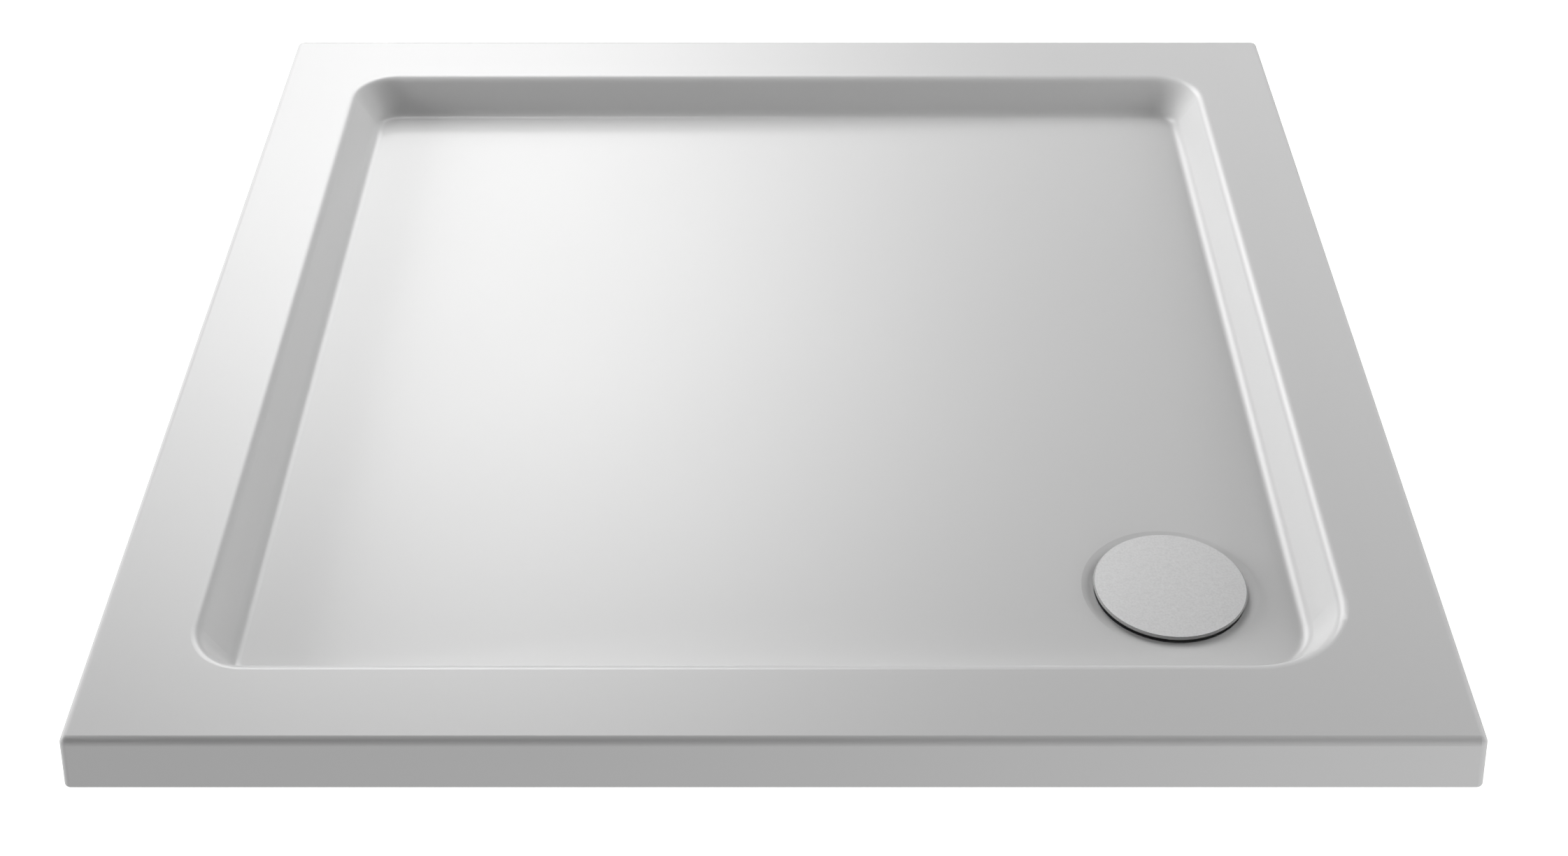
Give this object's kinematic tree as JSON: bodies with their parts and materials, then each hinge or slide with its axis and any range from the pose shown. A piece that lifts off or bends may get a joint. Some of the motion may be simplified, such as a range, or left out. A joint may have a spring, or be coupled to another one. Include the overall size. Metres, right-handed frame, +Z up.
{
  "type": "shower tray",
  "caption": "Square low-profile shower tray with a raised rim, sunken floor, round lift-off waste cover in one corner and a trap below.",
  "frame": {"origin": "middle of the flat underside, in the plane that lies on the bed", "axes": "+Z up, +X to the right and -Y to the front, so that the waste is in the front right corner"},
  "size_m": [0.8998, 0.8998, 0.106],
  "materials": {
    "gloss_white": "gloss white acrylic skin",
    "cast_stone": "cast resin and stone powder, as poured",
    "satin_silver": "satin silver with a fine even grain",
    "stainless": "pressed stainless steel",
    "seal_rubber": "black seal rubber",
    "trap_plastic": "white moulded polypropylene",
    "insert_plastic": "grey moulded polypropylene",
    "clip_plastic": "dark grey moulded plastic"
  },
  "bodies": {
    "tray": {"tray_skin": "gloss_white", "tray_core": "cast_stone", "waste_flange": "stainless", "upper_seal": "seal_rubber", "lower_seal": "seal_rubber", "flange_screws": "stainless", "trap_body": "trap_plastic", "cone_seal": "seal_rubber", "slip_washer": "clip_plastic", "outlet_nut": "trap_plastic"},
    "insert": {"dip_tube": "insert_plastic", "sealing_ring": "seal_rubber", "trap_cup": "insert_plastic"},
    "strainer": {"hair_strainer": "insert_plastic"},
    "cover": {"cover_plate": "satin_silver", "cover_clip": "clip_plastic"}
  },
  "joints": [
    {"name": "insert_lift", "type": "slide", "parent": "tray", "child": "insert", "axis": [0, 0, 1], "range_m": [0, 0.11]},
    {"name": "strainer_lift", "type": "slide", "parent": "insert", "child": "strainer", "axis": [0, 0, 1], "range_m": [0, 0.03]},
    {"name": "cover_lift", "type": "slide", "parent": "strainer", "child": "cover", "axis": [0, 0, 1], "range_m": [0, 0.06]}
  ]
}
